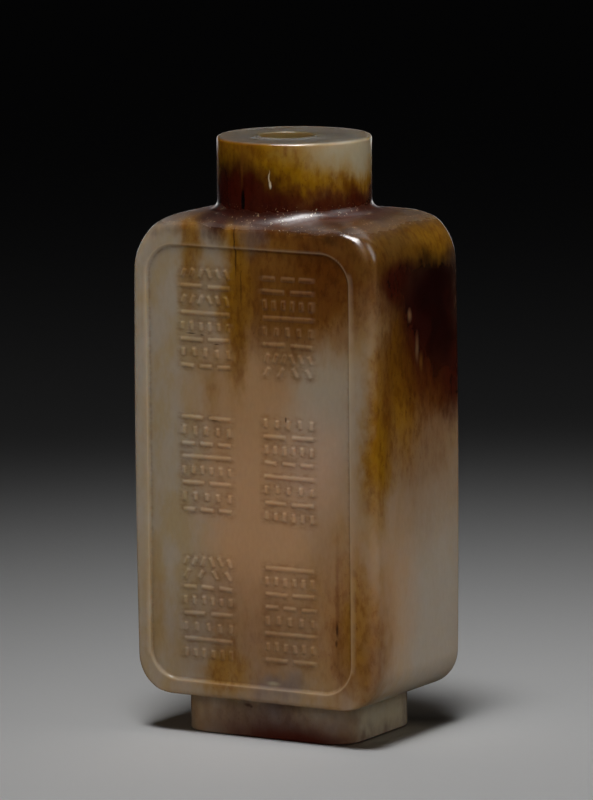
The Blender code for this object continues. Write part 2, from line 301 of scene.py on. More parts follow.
def body_heights():
    """Heights of the body's rows of points: at each row of strokes, and close round its corners."""
    margin = STROKE_TOE * 2
    heights = [FOOT_HEIGHT + BASE_EDGE_RADIUS * drawn for drawn, _ in quarter_arc(4)]
    heights += zoned(
        heights[-1],
        [
            (PANEL_BOTTOM - margin, PLAIN_ROW / 2),
            (PANEL_BOTTOM + PANEL_STEP + margin, PANEL_EDGE_COLUMN),
            (STROKES_BOTTOM - ROW_PITCH / 10, CORNER_COLUMN),
        ],
    )[1:]
    for block in range(3):
        bottom = STROKES_BOTTOM + block * (BLOCK_HEIGHT + BLOCK_GAP)
        heights += zoned(heights[-1], [(bottom - ROW_PITCH / 10, PLAIN_ROW)])[1:]
        for row in range(ROWS_PER_BLOCK):
            middle = bottom + ROW_PITCH * (row + 0.5)
            heights += [middle + ROW_PITCH * share for share in ROW_LEVELS]
        heights.append(bottom + BLOCK_HEIGHT)
    heights += zoned(
        heights[-1],
        [
            (PANEL_TOP - PANEL_STEP - margin, CORNER_COLUMN),
            (PANEL_TOP + margin, PANEL_EDGE_COLUMN),
            (TOP_EDGE_BASE, CORNER_COLUMN),
        ],
    )[1:]
    turns = spread(0, TOP_EDGE_SWEEP, TOP_EDGE_STEPS)[1:]
    heights += [TOP_EDGE_BASE + TOP_EDGE_RADIUS * math.sin(turn) for turn in turns]
    return heights


def smooth_step(value):
    value = np.clip(value, 0, 1)
    return value * value * (3 - 2 * value)


def bar_row(left, right, middle, pieces):
    """A row of equal bars. A stroke is (start, end), each (across, up)."""
    length = (right - left - STROKE_GAP * (pieces - 1)) / pieces
    starts = [left + index * (length + STROKE_GAP) for index in range(pieces)]
    return [((start, middle), (start + length, middle)) for start in starts]


def post_row(left, right, middle, pieces):
    """A row of short upright strokes."""
    inset = STROKE_WIDTH / 2
    rise = POST_LENGTH / 2
    places = spread(left + inset, right - inset, pieces - 1)
    return [((x, middle - rise), (x, middle + rise)) for x in places]


def slant_row(left, right, middle, pieces):
    """A row of leaning strokes, mirrored about the middle of the block."""
    lean = (right - left) / pieces * SLANT_LEAN
    inset = lean + STROKE_WIDTH / 2
    rise = SLANT_RISE / 2
    strokes = []
    for x in spread(left + inset, right - inset, pieces - 1):
        turn = lean if x < (left + right) / 2 else -lean
        strokes.append(((x - turn, middle - rise), (x + turn, middle + rise)))
    return strokes


# The rows of each block from its top. A row is a kind, bars (b), posts (p) or slants (s), and a count
BLOCKS = {
    "top left": "s6 b2 s6 b1 p6 b2 p5 b3",
    "middle left": "b2 p5 b3 b1 p6 b2 p5 b3",
    "bottom left": "s6 s4 b3 p6 b2 p5 b1 p6",
    "top right": "b3 b2 p6 b1 p5 b2 s6 s4",
    "middle right": "p5 b2 p6 b3 b1 p5 b2 p6",
    "bottom right": "b1 p6 b2 b3 p5 b1 p6 b2",
}


def all_strokes():
    strokes = []
    for name, codes in BLOCKS.items():
        vertical, side = name.split()
        column = ("left", "right").index(side)
        tier = ("top", "middle", "bottom").index(vertical)
        left = STROKES_LEFT + column * (BLOCK_WIDTH + COLUMN_GAP)
        top = STROKES_TOP - tier * (BLOCK_HEIGHT + BLOCK_GAP)
        for row, code in enumerate(codes.split()):
            make_row = {"b": bar_row, "p": post_row, "s": slant_row}[code[0]]
            middle = top - ROW_PITCH * (row + 0.5)
            strokes += make_row(left, left + BLOCK_WIDTH, middle, int(code[1]))
    # Cut by hand, so no two ends lie quite in line
    strokes = np.array(strokes)
    return strokes + np.random.default_rng(11).uniform(-HAND_ERROR, HAND_ERROR, strokes.shape)


def box_distance(across, up, half_across, half_up, radius=0.0):
    """Distance outside a rounded oblong round the origin, negative inside it."""
    over_across = np.abs(across) - (half_across - radius)
    over_up = np.abs(up) - (half_up - radius)
    outside = np.hypot(np.maximum(over_across, 0), np.maximum(over_up, 0))
    return outside + np.minimum(np.maximum(over_across, over_up), 0) - radius


def near_outline(outside):
    """How close each point is to an outline, from 0 to 1."""
    return smooth_step(1 - np.abs(outside) / EDGE_LINE_REACH)


def panel_sink(across, up):
    """How far the panel's floor is sunk at each point, how much it is a hollow, and how near it is to its
    brink, where a highlight line is painted.
    """
    middle = (PANEL_LEFT + PANEL_RIGHT) / 2, (PANEL_BOTTOM + PANEL_TOP) / 2
    halves = (PANEL_RIGHT - PANEL_LEFT) / 2, (PANEL_TOP - PANEL_BOTTOM) / 2
    outside = box_distance(across - middle[0], up - middle[1], *halves, PANEL_CORNER_RADIUS)
    foot = STEP_FOOT_SHARE * smooth_step(1 - np.abs(outside + PANEL_STEP) / STEP_FOOT_REACH)
    return PANEL_DEPTH * smooth_step(-outside / PANEL_STEP), foot, near_outline(outside)


def stroke_rise(across, up):
    """How far the strokes stand up at each point, how much it is a hollow between them, and how near it is to
    their edges, where a highlight line is painted.
    """
    rise = np.zeros_like(across)
    edge_amount = np.zeros_like(across)
    nearest = np.full_like(across, HOLLOW_REACH)
    for start, end in all_strokes():
        length = np.linalg.norm(end - start)
        along = (end - start) / length
        middle = (start + end) / 2
        reach = length / 2 + HOLLOW_REACH + STROKE_WIDTH
        near = np.hypot(across - middle[0], up - middle[1]) < reach
        x, z = across[near] - middle[0], up[near] - middle[1]
        outside = box_distance(
            x * along[0] + z * along[1],
            z * along[0] - x * along[1],
            length / 2,
            STROKE_WIDTH / 2,
        )
        share = (STROKE_TOE - outside) / (STROKE_SHOULDER + STROKE_TOE)
        rise[near] = np.maximum(rise[near], STROKE_HEIGHT * smooth_step(share))
        edge_amount[near] = np.maximum(edge_amount[near], near_outline(outside))
        nearest[near] = np.minimum(nearest[near], np.maximum(outside, 0))
    return rise, smooth_step(1 - nearest / HOLLOW_REACH) * (1 - rise / STROKE_HEIGHT), edge_amount


def carve(rings):
    """Sinks the panels into the broad faces, with the strokes left standing in the front one.

    Returns how much each point is a hollow, and how much it lies on an edge with a painted highlight line,
    from 0 to 1.
    """
    x, y, z = rings[..., 0], rings[..., 1], rings[..., 2]
    front = np.abs(y + BODY_DEPTH / 2) < 1e-7
    back = np.abs(y - BODY_DEPTH / 2) < 1e-7
    hollows = np.zeros_like(x)
    edge_amount = np.zeros_like(x)
    rise, between_strokes, stroke_edges = stroke_rise(x[front], z[front])
    sink, step_foot, brink = panel_sink(x[front], z[front])
    hollows[front] = np.maximum(between_strokes, step_foot)
    edge_amount[front] = np.maximum(STROKE_LINE_SHARE * stroke_edges, brink)
    y[front] += sink - rise
    sink, hollows[back], edge_amount[back] = panel_sink(-x[back], z[back])
    y[back] -= sink
    return hollows, edge_amount


def foot_rings():
    """From the hollow under the foot, over the rim that it stands on, up to the body's underside."""

    def inset(distance):
        across = FOOT_WIDTH / 2 - distance
        deep = FOOT_DEPTH / 2 - distance
        return corner_outline(across, across, deep, FOOT_CORNER_RADIUS - distance)

    rings = [level(inset(FOOT_RIM_WIDTH + 2 * FOOT_FILLET), FOOT_RECESS)]
    for drawn, left in quarter_arc(4):
        outline = inset(FOOT_RIM_WIDTH + FOOT_FILLET * left)
        rings.append(level(outline, FOOT_RECESS - FOOT_FILLET * drawn))
    for drawn, left in quarter_arc(4):
        rings.append(level(inset(FOOT_RIM_WIDTH - FOOT_FILLET * drawn), FOOT_FILLET * left))
    for drawn, left in quarter_arc(5)[::-1]:
        rings.append(level(inset(FOOT_EDGE_RADIUS * drawn), FOOT_EDGE_RADIUS * left))
    rings.append(level(inset(0), FOOT_HEIGHT / 2))
    for drawn, left in quarter_arc(4):
        rings.append(level(inset(-FOOT_FILLET * drawn), FOOT_HEIGHT - FOOT_FILLET * left))
    return rings


def body_rings():
    return [level(body_outline(height), height) for height in body_heights()]


def eased(value):
    return 1 - (1 - np.clip(value, 0, 1)) ** 2


def shoulder_heights(outline, left, right, depth):
    """The shoulder rises from its outline towards the neck and sweeps up into it."""
    x, y = outline[:, 0], outline[:, 1]
    side = np.where(x > 0, right - x, left + x)
    front = depth - np.abs(y)
    rise = SHOULDER_RISE * eased(side / SHOULDER_RISE_RUN) * eased(front / SHOULDER_RISE_RUN)
    into_fillet = np.clip(NECK_FILLET - (np.hypot(x, y) - NECK_RADIUS), 0, NECK_FILLET)
    sweep = NECK_FILLET - np.sqrt(NECK_FILLET**2 - into_fillet**2)
    return BODY_TOP + rise + sweep


def shoulder_rings():
    """From the crease round the top of the body in to the neck."""
    edge = body_outline(BODY_TOP)
    neck = round_outline(NECK_RADIUS)
    left = half_width(BODY_TOP, LEFT_SHOULDER_RADIUS)
    right = half_width(BODY_TOP, RIGHT_SHOULDER_RADIUS)
    depth = half_depth(BODY_TOP)
    fillet_share = NECK_FILLET / (right - NECK_RADIUS)
    shares = spread(0, 1 - fillet_share, 7)[1:]
    shares += [1 - fillet_share * left_over for _, left_over in quarter_arc(8)[1:]]
    rings = []
    for share in shares:
        outline = edge + (neck - edge) * share
        rings.append(np.column_stack([outline, shoulder_heights(outline, left, right, depth)]))
    return rings


def neck_rings():
    """The neck's wall and its rounded rim, the flat lip round the mouth and the turn into the bore."""
    foot = BODY_TOP + SHOULDER_RISE + NECK_FILLET
    rim_base = TOTAL_HEIGHT - RIM_RADIUS
    rings = [level(round_outline(NECK_RADIUS), height) for height in spread(foot, rim_base, 4)[1:-1]]
    for drawn, left in quarter_arc(6):
        outline = round_outline(NECK_RADIUS - RIM_RADIUS * drawn)
        rings.append(level(outline, TOTAL_HEIGHT - RIM_RADIUS * left))
    for drawn, left in quarter_arc(4)[::-1]:
        outline = round_outline(MOUTH_RADIUS + LIP_RADIUS * drawn, MOUTH_OFFSET)
        rings.append(level(outline, TOTAL_HEIGHT - LIP_RADIUS * left))
    return rings


def cavity_rings():
    """The hollow: from the foot of the bore out under the shoulders, down the walls and in to the floor."""
    across = BODY_WIDTH / 2 - SIDE_WALL
    deep = BODY_DEPTH / 2 - FACE_WALL
    ceiling = BODY_TOP - SHOULDER_THICKNESS
    floor = FOOT_HEIGHT + FLOOR_THICKNESS
    bore = round_outline(MOUTH_RADIUS, MOUTH_OFFSET)
    full = corner_outline(across, across, deep, CAVITY_CORNER_RADIUS)
    rings = [level(bore, (TOTAL_HEIGHT + ceiling) / 2)]
    for angle in spread(0, math.pi / 2, ARC_STEPS):
        outline = bore + (full - bore) * math.sin(angle)
        rings.append(level(outline, ceiling - CAVITY_SHOULDER_DROP * (1 - math.cos(angle))))
    for drawn, left in quarter_arc():
        inset = CAVITY_FLOOR_RADIUS * drawn
        radius = max(CAVITY_CORNER_RADIUS - inset, LIP_RADIUS)
        outline = corner_outline(across - inset, across - inset, deep - inset, radius)
        rings.append(level(outline, floor + CAVITY_FLOOR_RADIUS * left))
    return rings


def skinned(name, rings):
    """One closed mesh from rings of points, each joined to the next, with the first and last filled."""
    rows, columns = rings.shape[:2]
    index = np.arange(rows * columns).reshape(rows, columns)
    after = np.roll(index, -1, axis=1)
    quads = np.stack([index[:-1], after[:-1], after[1:], index[1:]], axis=-1).reshape(-1, 4)
    faces = quads.tolist() + [index[0][::-1].tolist(), index[-1].tolist()]
    data = bpy.data.meshes.new(name)
    data.from_pydata(rings.reshape(-1, 3).tolist(), [], faces)
    data.validate()
    data.shade_smooth()
    piece = bpy.data.objects.new(name, data)
    bpy.context.scene.collection.objects.link(piece)
    return piece


def make_stone():
    rings = foot_rings() + body_rings() + shoulder_rings() + neck_rings() + cavity_rings()
    rings = np.array(rings)
    shade_dirt_and_highlights = carve(rings)
    stone = skinned("carved_stone", rings)
    # Kept on the mesh: where painted shade and dirt go, and where the painted highlight lines go
    for name, values in zip((HOLLOWS, EDGE_HIGHLIGHTS), shade_dirt_and_highlights):
        attribute = stone.data.attributes.new(name, "FLOAT", "POINT")
        attribute.data.foreach_set("value", values.ravel())
    return stone


class Shader:
    """Adds nodes to one material and joins them."""

    def __init__(self, name):
        self.material = bpy.data.materials.new(name)
        self.material.use_nodes = True
        self.tree = self.material.node_tree
        self.surface = self.tree.nodes["Principled BSDF"]

    def set(self, node, inputs):
        for socket, value in inputs.items():
            if isinstance(value, bpy.types.NodeSocket):
                self.tree.links.new(value, node.inputs[socket])
            else:
                node.inputs[socket].default_value = value

    def add(self, kind, inputs, **settings):
        node = self.tree.nodes.new("ShaderNode" + kind)
        for name, value in settings.items():
            setattr(node, name, value)
        self.set(node, inputs)
        return node

    def maths(self, operation, first, second=0.0):
        return self.add("Math", {0: first, 1: second}, operation=operation).outputs[0]

    def vectors(self, operation, first, second):
        return self.add("VectorMath", {0: first, 1: second}, operation=operation).outputs[0]

    def scaled(self, vector, scale):
        return self.vectors("MULTIPLY", vector, scale)

    def noise(self, vector, detail=3.0, roughness=0.55):
        """Returns the noise's value and its colour, for features about one unit across."""
        inputs = {"Vector": vector, "Scale": 1.0, "Detail": detail, "Roughness": roughness}
        node = self.add("TexNoise", inputs)
        return node.outputs["Fac"], node.outputs["Color"]

    def ramp(self, value, low, high, to_low=0.0, to_high=1.0):
        """Takes value from low to high over to to_low and to_high, smoothly and no further."""
        inputs = {"Value": value, 1: low, 2: high, 3: to_low, 4: to_high}
        return self.add("MapRange", inputs, interpolation_type="SMOOTHSTEP").outputs[0]

    def band(self, value, low, high, fade):
        """1 between low and high, fading to 0 at both."""
        above = self.ramp(value, low, low + fade)
        below = self.ramp(value, high, high - fade)
        return self.maths("MULTIPLY", above, below)

    def drift(self, place, scale, reach, detail=3.0):
        """A shift that wanders from place to place, by up to about half the reach each way."""
        _, wander = self.noise(self.scaled(place, scale), detail=detail)
        return self.scaled(self.vectors("SUBTRACT", wander, (0.5, 0.5, 0.5)), reach)

    def mix(self, share, first, second, blend="MIX"):
        node = self.add("Mix", {}, data_type="RGBA", blend_type=blend)
        self.set(node, {0: share, 6: first, 7: second})
        return node.outputs[2]


# How much lighter the stone is in full white light than in the dim studio
STUDIO_DIMNESS = 2.0


def seen(red, green, blue):
    """The stone's own colour, from how it looks in the photograph, 0 to 255 each."""
    parts = []
    for value in (red, green, blue):
        value /= 255
        flat = value / 12.92 if value <= 0.04045 else ((value + 0.055) / 1.055) ** 2.4
        parts.append(flat * STUDIO_DIMNESS)
    return (*parts, 1.0)


# The stone's colours
PALE = seen(116, 100, 75)
GREY = seen(118, 107, 93)
PINK = seen(132, 102, 74)
BEIGE = seen(120, 93, 64)
TAN = seen(100, 68, 26)
BROWN = seen(76, 45, 12)
DARK_BROWN = seen(40, 20, 8)
OCHRE = seen(102, 70, 10)
GOLD = seen(110, 79, 3)
RUST = seen(62, 26, 4)
RED_BROWN = seen(44, 9, 3)
MAROON = seen(18, 3, 2)
BLACK = seen(6, 2, 2)
SLATE = seen(76, 66, 63)
WHITE = seen(124, 115, 95)
DUSK = seen(66, 50, 42)
SHADE = seen(38, 28, 21)
OLIVE = seen(72, 48, 12)
LIP = seen(80, 75, 69)
# Pale wear, also used for painted highlights: sparkles on the shoulders and lines along edges
WEAR_AND_HIGHLIGHT = seen(150, 134, 112)
AMBER = seen(112, 77, 38)
ROSE = seen(136, 110, 90)
DULL = seen(76, 66, 42)
SAND = seen(114, 92, 68)
ASH = seen(123, 114, 103)
# What the specks and the smoky patches in the stains leave of the light
PEPPER = (0.40, 0.24, 0.14, 1.0)
SMOKE = (0.52, 0.34, 0.22, 1.0)


MILLIMETRES = 1000.0
FRONT = -BODY_DEPTH / 2 * MILLIMETRES
RIGHT_SIDE = BODY_WIDTH / 2 * MILLIMETRES
NECK_WALL = NECK_RADIUS * MILLIMETRES


def on_front(across, up):
    return (across, FRONT, up)


def on_side(along, up):
    """A place on the right side. Along runs from front to back."""
    return (RIGHT_SIDE, along, up)


def on_neck(azimuth, up):
    """A place on the neck's wall. Azimuth 0 is the front, 90 degrees the right side."""
    turn = math.radians(azimuth)
    return (NECK_WALL * math.sin(turn), -NECK_WALL * math.cos(turn), up)


# Blots of colour, in the order they are laid: name, colour, centre, radii, strength and softness
# Centres and radii are in millimetres. Softness is how far the edge fades in and out, as a share of the radii
BLOTS = [
    ("warm middle of the front", PINK, on_front(0.8, 26.0), (7.0, 9.0, 18.0), 0.95, 0.5),
    ("beige under the stain", BEIGE, on_front(-1.5, 38.0), (6.0, 6.0, 6.0), 0.7, 0.7),
    # Painted shade: the front darkened towards the bottom
    ("dim low front", BROWN, on_front(0.0, 10.0), (10.0, 5.0, 6.5), 0.5, 0.9),
    ("pale right of the front", GREY, on_front(9.5, 35.0), (4.5, 4.0, 9.0), 0.85, 0.7),
    ("rosy right of the front", ROSE, on_front(7.5, 29.5), (3.4, 4.0, 5.0), 0.8, 0.9),
    ("beige side", SAND, on_side(1.0, 30.0), (6.0, 9.0, 9.0), 0.9, 0.7),
    ("dim beige side", BROWN, on_side(1.0, 32.0), (6.0, 9.0, 8.5), 0.45, 0.9),
    ("grey low side", ASH, on_side(4.5, 11.0), (7.0, 9.0, 12.0), 0.9, 0.8),
    ("pinkish low side", PINK, on_side(-5.5, 16.0), (4.0, 4.0, 7.5), 0.6, 0.9),
    ("brown low front edge", BROWN, (14.9, -9.0, 11.5), (2.4, 2.6, 6.0), 0.5, 0.8),
    ("gold of the neck", GOLD, (0.0, 0.0, 61.8), (14.0, 14.0, 5.4), 1.0, 0.3),
    ("brown left of the neck", RUST, on_neck(-48.0, 61.6), (3.5, 3.5, 3.4), 0.45, 0.9),
    ("brown in the gold", BROWN, on_neck(-8.0, 61.5), (1.6, 2.0, 2.4), 0.6, 0.9),
    ("brown top of the neck", BROWN, on_neck(-22.0, 63.6), (5.0, 3.0, 1.5), 0.5, 0.9),
    ("white of the neck", WHITE, on_neck(82.0, 63.2), (6.0, 5.4, 2.6), 0.95, 0.7),
    ("white over the front", WHITE, on_neck(48.0, 64.2), (3.4, 3.0, 1.2), 0.25, 0.9),
    # The shoulders: partly the stone's own brown and grey, partly painted shade where the tops take the light
    # from above, and on the left a painted grey sheen
    ("brown shoulders", SHADE, (4.0, -1.0, 55.4), (15.0, 14.0, 1.8), 0.92, 0.7),
    ("dark right shoulder", DARK_BROWN, (9.0, 1.0, 55.6), (7.0, 10.0, 1.9), 0.6, 0.8),
    ("grey left shoulder", SLATE, (-10.0, 0.0, 55.6), (6.0, 14.0, 2.0), 0.8, 0.6),
    ("tan top of the front", TAN, on_front(5.5, 50.0), (9.0, 6.0, 8.0), 1.0, 0.45),
    ("tan right corner", TAN, (14.2, -8.4, 48.0), (3.4, 4.2, 8.0), 0.4, 0.8),
    ("brown shoulder corner", BROWN, (13.0, -7.0, 52.2), (4.5, 5.0, 5.0), 0.9, 0.7),
    ("brown below the panel's corner", BROWN, on_front(8.0, 49.5), (4.4, 4.0, 5.0), 0.95, 0.8),
    ("brown beside the crack", BROWN, on_front(0.4, 48.5), (1.3, 3.0, 5.0), 0.75, 0.8),
    ("brown middle streaks", BROWN, on_front(3.4, 48.0), (2.6, 4.0, 7.0), 0.5, 0.9),
    ("rust at the panel's corner", RUST, on_front(8.6, 50.6), (2.8, 2.0, 3.2), 0.6, 0.9),
    ("brown edge over the panel", BROWN, on_front(5.0, 55.4), (9.0, 3.0, 1.6), 0.85, 0.7),
    # Painted shade: darkens the rounded top edge of the front, which takes the light from above
    ("dark edge of the shoulder", DARK_BROWN, on_front(8.0, 56.0), (8.0, 4.0, 1.5), 0.9, 0.8),
    ("olive stain by the crack", OCHRE, on_front(-2.0, 48.0), (1.7, 3.0, 9.0), 0.95, 0.6),
    ("brown in the olive stain", BROWN, on_front(-1.6, 46.0), (0.7, 2.0, 6.0), 0.6, 0.8),
    ("ochre left streak", OCHRE, on_front(-7.6, 54.0), (1.4, 3.0, 6.0), 0.85, 0.7),
    ("faint streak below it", OCHRE, on_front(-6.8, 47.0), (1.2, 3.0, 5.0), 0.35, 0.9),
    ("grey gap at the top", SLATE, on_front(0.2, 54.3), (1.2, 1.6, 2.2), 0.5, 0.6),
    ("orange spot", OCHRE, on_front(-5.2, 37.6), (0.9, 2.0, 3.0), 0.45, 0.9),
    ("amber low right", AMBER, on_front(10.6, 15.4), (4.0, 4.0, 10.0), 0.8, 0.8),
    ("brown low right", BROWN, on_front(10.6, 11.0), (1.2, 3.0, 6.0), 0.35, 0.9),
    ("brown foot of the panel", BROWN, on_front(12.6, 9.0), (2.4, 3.0, 3.6), 0.45, 0.8),
    ("ochre by the low corner", OCHRE, on_front(12.6, 13.4), (1.5, 2.4, 5.6), 0.7, 0.8),
    ("ochre low left", OCHRE, on_front(-3.8, 7.4), (2.6, 3.0, 2.2), 0.75, 0.7),
    ("faint ochre left", OCHRE, on_front(-12.4, 15.0), (1.0, 2.0, 5.0), 0.32, 0.9),
    ("grey left edge", ASH, (-14.8, -9.4, 32.0), (1.8, 3.0, 20.0), 0.55, 0.6),
    ("slate patch low", SLATE, on_front(2.8, 6.2), (2.6, 3.0, 1.5), 0.65, 0.7),
    ("red foot of the neck", RUST, (0.0, 0.0, 57.0), (10.2, 10.2, 3.6), 1.0, 0.28),
    ("darker foot of the neck", RED_BROWN, (0.0, 0.0, 56.6), (9.8, 9.8, 2.9), 0.85, 0.25),
    ("maroon of the neck", MAROON, on_neck(-33.0, 58.4), (5.2, 4.0, 2.9), 1.0, 0.7),
    ("red of the neck", RED_BROWN, on_neck(-12.0, 58.6), (5.2, 3.4, 2.6), 0.95, 0.7),
    ("gold of the side", OCHRE, on_side(-3.6, 40.0), (4.0, 4.6, 8.5), 1.0, 0.6),
    ("brown below the red", BROWN, on_side(4.0, 37.5), (4.0, 6.0, 3.8), 0.95, 0.8),
    ("rust below the red", RUST, on_side(1.5, 39.5), (4.0, 5.0, 3.2), 0.75, 0.9),
    ("gold band by the edge", OCHRE, on_side(-8.2, 33.2), (1.8, 2.4, 8.0), 1.0, 0.6),
    ("brown in the gold band", BROWN, on_side(-6.6, 38.0), (2.2, 1.5, 6.0), 0.8, 0.9),
    ("olive top of the side", OLIVE, on_side(0.0, 53.2), (4.0, 11.0, 3.2), 0.95, 0.5),
    ("red side", RED_BROWN, on_side(2.8, 45.6), (5.0, 8.6, 7.0), 1.0, 0.6),
    ("red by the front", RED_BROWN, on_side(-4.4, 49.6), (3.0, 3.0, 3.2), 0.95, 0.6),
    ("red tail at the back", RED_BROWN, on_side(8.0, 39.0), (3.0, 3.2, 5.0), 0.95, 0.7),
    ("maroon upper side", MAROON, on_side(3.6, 48.6), (4.0, 6.4, 3.9), 1.0, 0.75),
    ("maroon lower side", MAROON, on_side(5.2, 43.0), (4.0, 4.2, 3.6), 0.9, 0.6),
    ("olive under the shoulder", OLIVE, on_side(1.5, 53.9), (4.0, 8.5, 1.9), 0.9, 0.7),
    ("gold under the shoulder", OCHRE, on_side(5.0, 53.0), (4.0, 4.5, 1.8), 0.6, 0.8),
    # The foot's own darker stone, with painted shade from the body overhanging it
    ("dim foot", DUSK, (0.0, 0.0, 1.4), (14.0, 11.0, 3.6), 0.95, 0.35),
    ("pale end of the foot", BEIGE, (-9.5, -7.8, 2.4), (5.0, 2.0, 2.6), 0.3, 0.9),
    ("pale side of the foot", WHITE, (11.4, 1.4, 2.6), (1.6, 8.0, 3.2), 0.7, 0.5),
    ("slate stripe of the foot", SLATE, (1.7, -7.8, 2.8), (0.7, 1.0, 1.4), 0.5, 0.7),
]

# Small sharp marks, laid where they are, with no fraying
MARKS = [
    ("crack at the top", DARK_BROWN, on_front(-2.0, 52.6), (0.10, 0.6, 2.8), 0.75, 0.5),
    ("second crack", DARK_BROWN, on_front(-1.4, 48.6), (0.08, 0.6, 1.8), 0.6, 0.5),
    ("rusty streak low right", RUST, on_front(10.1, 15.0), (0.22, 1.0, 6.0), 0.4, 0.8),
    ("dark inclusion", DARK_BROWN, on_front(10.0, 12.9), (0.16, 0.6, 0.7), 0.8, 0.5),
    ("small dark inclusion", DARK_BROWN, on_front(9.9, 11.4), (0.14, 0.6, 0.4), 0.7, 0.5),
    ("dark dash in the top left block", BLACK, on_front(-7.6, 43.4), (0.55, 0.6, 0.07), 0.8, 0.5),
    ("shorter dark dash", BLACK, on_front(-6.2, 43.3), (0.22, 0.6, 0.06), 0.8, 0.5),
    ("dark dash beside it", DARK_BROWN, on_front(-4.4, 42.4), (0.35, 0.6, 0.07), 0.8, 0.5),
    ("dark dash in the middle left block", DARK_BROWN, on_front(-4.7, 34.2), (0.4, 0.6, 0.08), 0.8, 0.5),
    ("dark nick in the middle right block", BLACK, on_front(4.0, 34.9), (0.09, 0.6, 0.28), 0.8, 0.5),
    ("white chip low", WHITE, on_front(2.2, 6.4), (0.7, 0.6, 0.25), 0.6, 0.6),
    ("fleck high on the side", BEIGE, on_side(-1.6, 45.8), (0.6, 0.3, 0.5), 0.5, 1.0),
    ("fleck in the red", BEIGE, on_side(-0.1, 42.2), (0.6, 0.28, 1.1), 0.35, 1.0),
    ("fleck below", TAN, on_side(0.7, 40.6), (0.6, 0.28, 0.7), 0.4, 1.0),
    ("faint streak of the neck", BROWN, on_neck(-12.0, 61.9), (0.18, 0.6, 2.2), 0.5, 0.7),
    ("black streak of the neck", BLACK, on_neck(-11.0, 57.8), (0.24, 0.6, 1.1), 1.0, 0.5),
    # The lip's own pale stone, greyed as a painted reflection of the light above
    ("grey lip", LIP, (0.0, 0.0, 64.3), (14.0, 14.0, 0.45), 0.95, 0.3),
    # Painted shade down inside the mouth's bore
    ("dull mouth", DULL, (-0.7, -0.4, 61.0), (3.7, 3.7, 8.0), 0.95, 0.25),
    ("scratch on the neck", WEAR_AND_HIGHLIGHT, on_neck(11.2, 60.2), (0.06, 0.5, 0.8), 0.9, 0.5),
    ("thick end of the scratch", WEAR_AND_HIGHLIGHT, on_neck(12.0, 59.6), (0.10, 0.5, 0.35), 1.0, 0.5),
    ("spot on the foot", DARK_BROWN, (-1.8, -7.8, 3.5), (0.35, 0.6, 0.16), 0.7, 0.7),
    ("second spot on the foot", DARK_BROWN, (-1.4, -7.8, 3.35), (0.16, 0.6, 0.12), 0.7, 0.7),
    ("red edge of the foot", RED_BROWN, (4.0, -7.8, -0.1), (9.0, 3.0, 1.7), 0.95, 0.7),
]


def lay_blots(shader, colour, place, blots):
    """Lays each blot over the colour so far, with one vector node for its place and size."""
    for name, tint, centre, radii, strength, softness in blots:
        shrink = [1 / radius for radius in radii]
        shift = [-middle / radius for middle, radius in zip(centre, radii)]
        inside = shader.add("VectorMath", {0: place, 1: shrink, 2: shift}, operation="MULTIPLY_ADD")
        inside.label = name
        reach = shader.add("VectorMath", {0: inside.outputs[0]}, operation="LENGTH").outputs["Value"]
        share = shader.ramp(reach, 1 + softness, 1 - softness, 0.0, strength)
        colour = shader.mix(share, colour, tint)
    return colour


def stone_colour(shader, place):
    """The blots over a pale ground, with clouds, fibres and specks. Place is in millimetres."""
    # Clouds move every blot's edge, fine turbulence frays it and upright fibres draw it up and down
    clouds = shader.drift(place, (0.30, 0.30, 0.20), (3.0, 3.0, 4.0), detail=2.0)
    fray = shader.drift(place, (0.95, 0.95, 0.65), (1.6, 1.6, 2.0), detail=2.5)
    fibre, _ = shader.noise(shader.scaled(place, (1.1, 1.1, 0.22)), detail=2.0, roughness=0.5)
    pull = shader.add("CombineXYZ", {"Z": shader.ramp(fibre, 0.2, 0.8, -0.28, 0.28)}).outputs[0]
    warped = place
    for shift in (clouds, fray, pull):
        warped = shader.vectors("ADD", warped, shift)

    mottle, _ = shader.noise(shader.scaled(place, (0.4, 0.4, 0.2)), detail=4.0)
    colour = shader.mix(shader.ramp(mottle, 0.35, 0.65), PALE, GREY)
    colour = lay_blots(shader, colour, warped, BLOTS)

    # Fine upright fibres and small dark specks, which show most in the stained parts
    fine, _ = shader.noise(shader.scaled(place, (2.6, 2.6, 1.2)), detail=3.0)
    colour = shader.mix(0.03, colour, shader.ramp(fine, 0.25, 0.75), "OVERLAY")
    blue = shader.add("SeparateColor", {0: colour}).outputs["Blue"]
    stained = shader.ramp(blue, 0.13, 0.02)
    pepper, _ = shader.noise(shader.scaled(place, (3.4, 3.4, 2.2)), detail=4.0, roughness=0.7)
    specks = shader.maths("MULTIPLY", shader.ramp(pepper, 0.56, 0.76, 0.0, 0.7), stained)
    colour = shader.mix(specks, colour, PEPPER, "MULTIPLY")
    smoke, _ = shader.noise(shader.scaled(place, (1.3, 1.3, 0.65)), detail=5.0, roughness=0.6)
    smoke = shader.maths("MULTIPLY", shader.ramp(smoke, 0.40, 0.70, 0.0, 0.6), stained)
    colour = shader.mix(smoke, colour, SMOKE, "MULTIPLY")

    # Pale specks on the shoulders, partly dust and partly painted sparkles of light
    height = shader.add("SeparateXYZ", {0: place}).outputs["Z"]
    shoulder = shader.band(height, 54.4, 57.6, 1.0)
    dust_and_sparkles, _ = shader.noise(shader.scaled(place, (4.5, 4.5, 4.5)), detail=1.0)
    dust_and_sparkles = shader.maths("MULTIPLY", shader.ramp(dust_and_sparkles, 0.67, 0.73, 0.0, 0.7), shoulder)
    colour = shader.mix(dust_and_sparkles, colour, WEAR_AND_HIGHLIGHT)

    # The marks waver a little, as cracks do
    waver = shader.drift(place, (0.9, 0.9, 0.9), (0.35, 0.35, 0.12))
    return lay_blots(shader, colour, shader.vectors("ADD", place, waver), MARKS)


# How far the painted shade and dirt in a hollow and the painted highlight line on an edge change the stone's
# colour, at most
MOST_SHADE_AND_GRIME = 0.45
MOST_EDGE_HIGHLIGHT = 0.28


